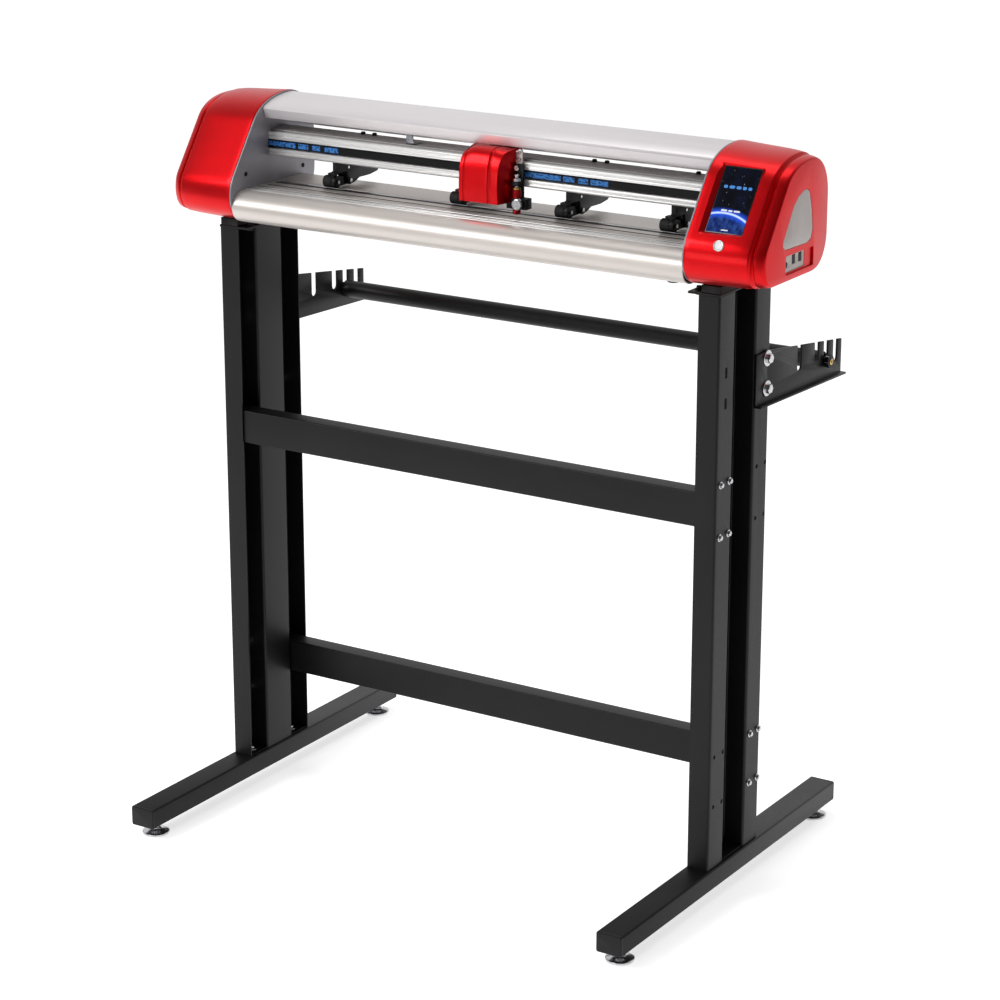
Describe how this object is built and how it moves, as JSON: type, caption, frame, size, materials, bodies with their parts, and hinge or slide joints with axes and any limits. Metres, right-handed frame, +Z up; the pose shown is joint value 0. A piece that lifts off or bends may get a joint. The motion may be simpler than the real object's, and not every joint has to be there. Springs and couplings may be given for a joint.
{
  "type": "vinyl cutter",
  "caption": "Roll-fed vinyl cutter on a floor stand: a tool carriage rides a beam over grit and pinch rollers, between red end covers.",
  "frame": {"origin": "on the floor, under the middle of the machine's overall box", "axes": "+Z up, +X to the operator's right along the beam, +Y from the operator's side to the rear"},
  "size_m": [0.975, 0.642, 1.0686],
  "materials": {
    "black_powder_coat": "satin black powder coat",
    "red_paint": "metallic red paint over a moulded cover",
    "satin_aluminium": "satin anodised extrusion",
    "pale_aluminium": "pale satin extrusion",
    "grey_sheet": "grey painted sheet",
    "bright_steel": "bright turned steel",
    "black_plastic": "moulded",
    "black_rubber": "smooth rubber",
    "brass": "machined",
    "circuit_board": "printed circuit board",
    "display_glass": "dark display behind a clear front",
    "white_plastic": "moulded",
    "light_grey_plastic": "moulded",
    "motor_steel": "plated motor can",
    "plain_case": "folded sheet case",
    "red_anodised": "red anodised"
  },
  "bodies": {
    "machine": {"left_foot_beam": "black_powder_coat", "right_foot_beam": "black_powder_coat", "left_leg_column": "black_powder_coat", "right_leg_column": "black_powder_coat", "left_head_mount": "black_powder_coat", "right_head_mount": "black_powder_coat", "upper_crossbar": "black_powder_coat", "lower_crossbar": "black_powder_coat", "left_roll_bracket": "black_powder_coat", "right_roll_bracket": "black_powder_coat", "left_end_cover": "red_paint", "right_end_cover": "red_paint", "left_side_plate": "grey_sheet", "right_side_plate": "grey_sheet", "cable_tray": "grey_sheet", "front_apron": "satin_aluminium", "platen": "satin_aluminium", "guide_beam": "satin_aluminium", "top_cover": "pale_aluminium", "drive_belt": "black_rubber", "cutting_strip": "black_plastic", "carriage_motor": "motor_steel", "feed_motor": "motor_steel", "main_board": "circuit_board", "power_supply": "plain_case", "touch_screen": "display_glass", "side_panel_insert": "light_grey_plastic", "port_panel": "light_grey_plastic"},
    "front_left_levelling_foot_body": {"front_left_levelling_foot": "bright_steel"},
    "front_right_levelling_foot_body": {"front_right_levelling_foot": "bright_steel"},
    "rear_left_levelling_foot_body": {"rear_left_levelling_foot": "bright_steel"},
    "rear_right_levelling_foot_body": {"rear_right_levelling_foot": "bright_steel"},
    "roll_bar": {"media_roll_bar": "black_powder_coat"},
    "feed_shaft": {"grit_roller": "bright_steel", "feed_gear": "white_plastic"},
    "pinion": {"feed_pinion": "brass"},
    "drive_pulley": {"motor_pulley": "satin_aluminium"},
    "return_pulley": {"idler_pulley": "satin_aluminium"},
    "carriage": {"carriage_plate": "satin_aluminium", "carriage_cover": "red_paint", "lift_coil": "motor_steel"},
    "upper_left_wheel_body": {"upper_left_wheel": "bright_steel"},
    "upper_right_wheel_body": {"upper_right_wheel": "bright_steel"},
    "lower_wheel_body": {"lower_wheel": "bright_steel"},
    "tool_slide": {"tool_lift": "black_plastic", "blade_holder": "red_anodised"},
    "knob": {"clamp_knob": "bright_steel"},
    "button": {"power_button": "white_plastic"},
    "pinch_bracket_1_body": {"pinch_bracket_1": "black_plastic"},
    "pinch_lever_1_body": {"pinch_lever_1": "black_plastic"},
    "pinch_roller_1_body": {"pinch_roller_1": "black_rubber"},
    "pinch_bracket_2_body": {"pinch_bracket_2": "black_plastic"},
    "pinch_lever_2_body": {"pinch_lever_2": "black_plastic"},
    "pinch_roller_2_body": {"pinch_roller_2": "black_rubber"},
    "pinch_bracket_3_body": {"pinch_bracket_3": "black_plastic"},
    "pinch_lever_3_body": {"pinch_lever_3": "black_plastic"},
    "pinch_roller_3_body": {"pinch_roller_3": "black_rubber"},
    "pinch_bracket_4_body": {"pinch_bracket_4": "black_plastic"},
    "pinch_lever_4_body": {"pinch_lever_4": "black_plastic"},
    "pinch_roller_4_body": {"pinch_roller_4": "black_rubber"}
  },
  "joints": [
    {"name": "front_left_foot_height", "type": "slide", "parent": "machine", "child": "front_left_levelling_foot_body", "axis": [0, 0, -1], "range_m": [-0.006, 0.01]},
    {"name": "front_right_foot_height", "type": "slide", "parent": "machine", "child": "front_right_levelling_foot_body", "axis": [0, 0, -1], "range_m": [-0.006, 0.01]},
    {"name": "rear_left_foot_height", "type": "slide", "parent": "machine", "child": "rear_left_levelling_foot_body", "axis": [0, 0, -1], "range_m": [-0.006, 0.01]},
    {"name": "rear_right_foot_height", "type": "slide", "parent": "machine", "child": "rear_right_levelling_foot_body", "axis": [0, 0, -1], "range_m": [-0.006, 0.01]},
    {"name": "roll_bar_spin", "type": "hinge", "parent": "machine", "child": "roll_bar", "pos_m": [0, 0.244, 0.7235], "axis": [1, 0, 0], "continuous": true},
    {"name": "feed_shaft_spin", "type": "hinge", "parent": "machine", "child": "feed_shaft", "pos_m": [0, 0.008, 0.93045], "axis": [1, 0, 0], "continuous": true},
    {"name": "feed_pinion_spin", "type": "hinge", "parent": "machine", "child": "pinion", "pos_m": [0.389, 0.0414, 0.93045], "axis": [1, 0, 0], "continuous": true},
    {"name": "drive_pulley_spin", "type": "hinge", "parent": "machine", "child": "drive_pulley", "pos_m": [0.4, 0.005, 0.9974], "axis": [0, 0, 1], "continuous": true},
    {"name": "return_pulley_spin", "type": "hinge", "parent": "machine", "child": "return_pulley", "pos_m": [-0.4, 0.005, 0.9974], "axis": [0, 0, 1], "continuous": true},
    {"name": "carriage_travel", "type": "slide", "parent": "machine", "child": "carriage", "axis": [1, 0, 0], "range_m": [-0.35, 0.284]},
    {"name": "upper_left_wheel_spin", "type": "hinge", "parent": "carriage", "child": "upper_left_wheel_body", "pos_m": [-0.002, -0.004, 1.0218], "axis": [0, 1, 0], "continuous": true},
    {"name": "upper_right_wheel_spin", "type": "hinge", "parent": "carriage", "child": "upper_right_wheel_body", "pos_m": [0.04, -0.004, 1.0218], "axis": [0, 1, 0], "continuous": true},
    {"name": "lower_wheel_spin", "type": "hinge", "parent": "carriage", "child": "lower_wheel_body", "pos_m": [0.019, -0.004, 0.9737], "axis": [0, 1, 0], "continuous": true},
    {"name": "tool_press", "type": "slide", "parent": "carriage", "child": "tool_slide", "axis": [0, 0, -1], "range_m": [0, 0.003], "stiffness_N_per_m": 400, "springref_m": -0.005},
    {"name": "clamp_knob_turn", "type": "hinge", "parent": "tool_slide", "child": "knob", "pos_m": [0.0735, -0.032, 0.9605], "axis": [0, -1, 0], "range_deg": [0, 360]},
    {"name": "pinch_bracket_1_slide", "type": "slide", "parent": "machine", "child": "pinch_bracket_1_body", "axis": [1, 0, 0], "range_m": [-0.085, 0.09]},
    {"name": "pinch_lever_1_tilt", "type": "hinge", "parent": "pinch_bracket_1_body", "child": "pinch_lever_1_body", "pos_m": [-0.2635, 0.034, 0.948], "axis": [-1, 0, 0], "range_deg": [0, 9]},
    {"name": "pinch_roller_1_spin", "type": "hinge", "parent": "pinch_lever_1_body", "child": "pinch_roller_1_body", "pos_m": [-0.273, 0.008, 0.94875], "axis": [1, 0, 0], "continuous": true},
    {"name": "pinch_bracket_2_slide", "type": "slide", "parent": "machine", "child": "pinch_bracket_2_body", "axis": [1, 0, 0], "range_m": [-0.08, 0.065]},
    {"name": "pinch_lever_2_tilt", "type": "hinge", "parent": "pinch_bracket_2_body", "child": "pinch_lever_2_body", "pos_m": [-0.0425, 0.034, 0.948], "axis": [-1, 0, 0], "range_deg": [0, 9]},
    {"name": "pinch_roller_2_spin", "type": "hinge", "parent": "pinch_lever_2_body", "child": "pinch_roller_2_body", "pos_m": [-0.052, 0.008, 0.94875], "axis": [1, 0, 0], "continuous": true},
    {"name": "pinch_bracket_3_slide", "type": "slide", "parent": "machine", "child": "pinch_bracket_3_body", "axis": [1, 0, 0], "range_m": [-0.065, 0.06]},
    {"name": "pinch_lever_3_tilt", "type": "hinge", "parent": "pinch_bracket_3_body", "child": "pinch_lever_3_body", "pos_m": [0.1315, 0.034, 0.948], "axis": [-1, 0, 0], "range_deg": [0, 9]},
    {"name": "pinch_roller_3_spin", "type": "hinge", "parent": "pinch_lever_3_body", "child": "pinch_roller_3_body", "pos_m": [0.122, 0.008, 0.94875], "axis": [1, 0, 0], "continuous": true},
    {"name": "pinch_bracket_4_slide", "type": "slide", "parent": "machine", "child": "pinch_bracket_4_body", "axis": [1, 0, 0], "range_m": [-0.06, 0.05]},
    {"name": "pinch_lever_4_tilt", "type": "hinge", "parent": "pinch_bracket_4_body", "child": "pinch_lever_4_body", "pos_m": [0.2985, 0.034, 0.948], "axis": [-1, 0, 0], "range_deg": [0, 9]},
    {"name": "pinch_roller_4_spin", "type": "hinge", "parent": "pinch_lever_4_body", "child": "pinch_roller_4_body", "pos_m": [0.289, 0.008, 0.94875], "axis": [1, 0, 0], "continuous": true},
    {"name": "power_button_press", "type": "slide", "parent": "machine", "child": "button", "axis": [0, 0.9004, -0.435], "range_m": [0, 0.0012], "stiffness_N_per_m": 500, "springref_m": -0.002}
  ],
  "couplings": [
    {"joint": "feed_pinion_spin", "follows": "feed_shaft_spin", "ratio": -2.6667},
    {"joint": "drive_pulley_spin", "follows": "carriage_travel", "rad_per_m": 119.76},
    {"joint": "return_pulley_spin", "follows": "carriage_travel", "rad_per_m": 119.76},
    {"joint": "upper_left_wheel_spin", "follows": "carriage_travel", "rad_per_m": 166.67},
    {"joint": "upper_right_wheel_spin", "follows": "carriage_travel", "rad_per_m": 166.67},
    {"joint": "lower_wheel_spin", "follows": "carriage_travel", "rad_per_m": -166.67}
  ]
}
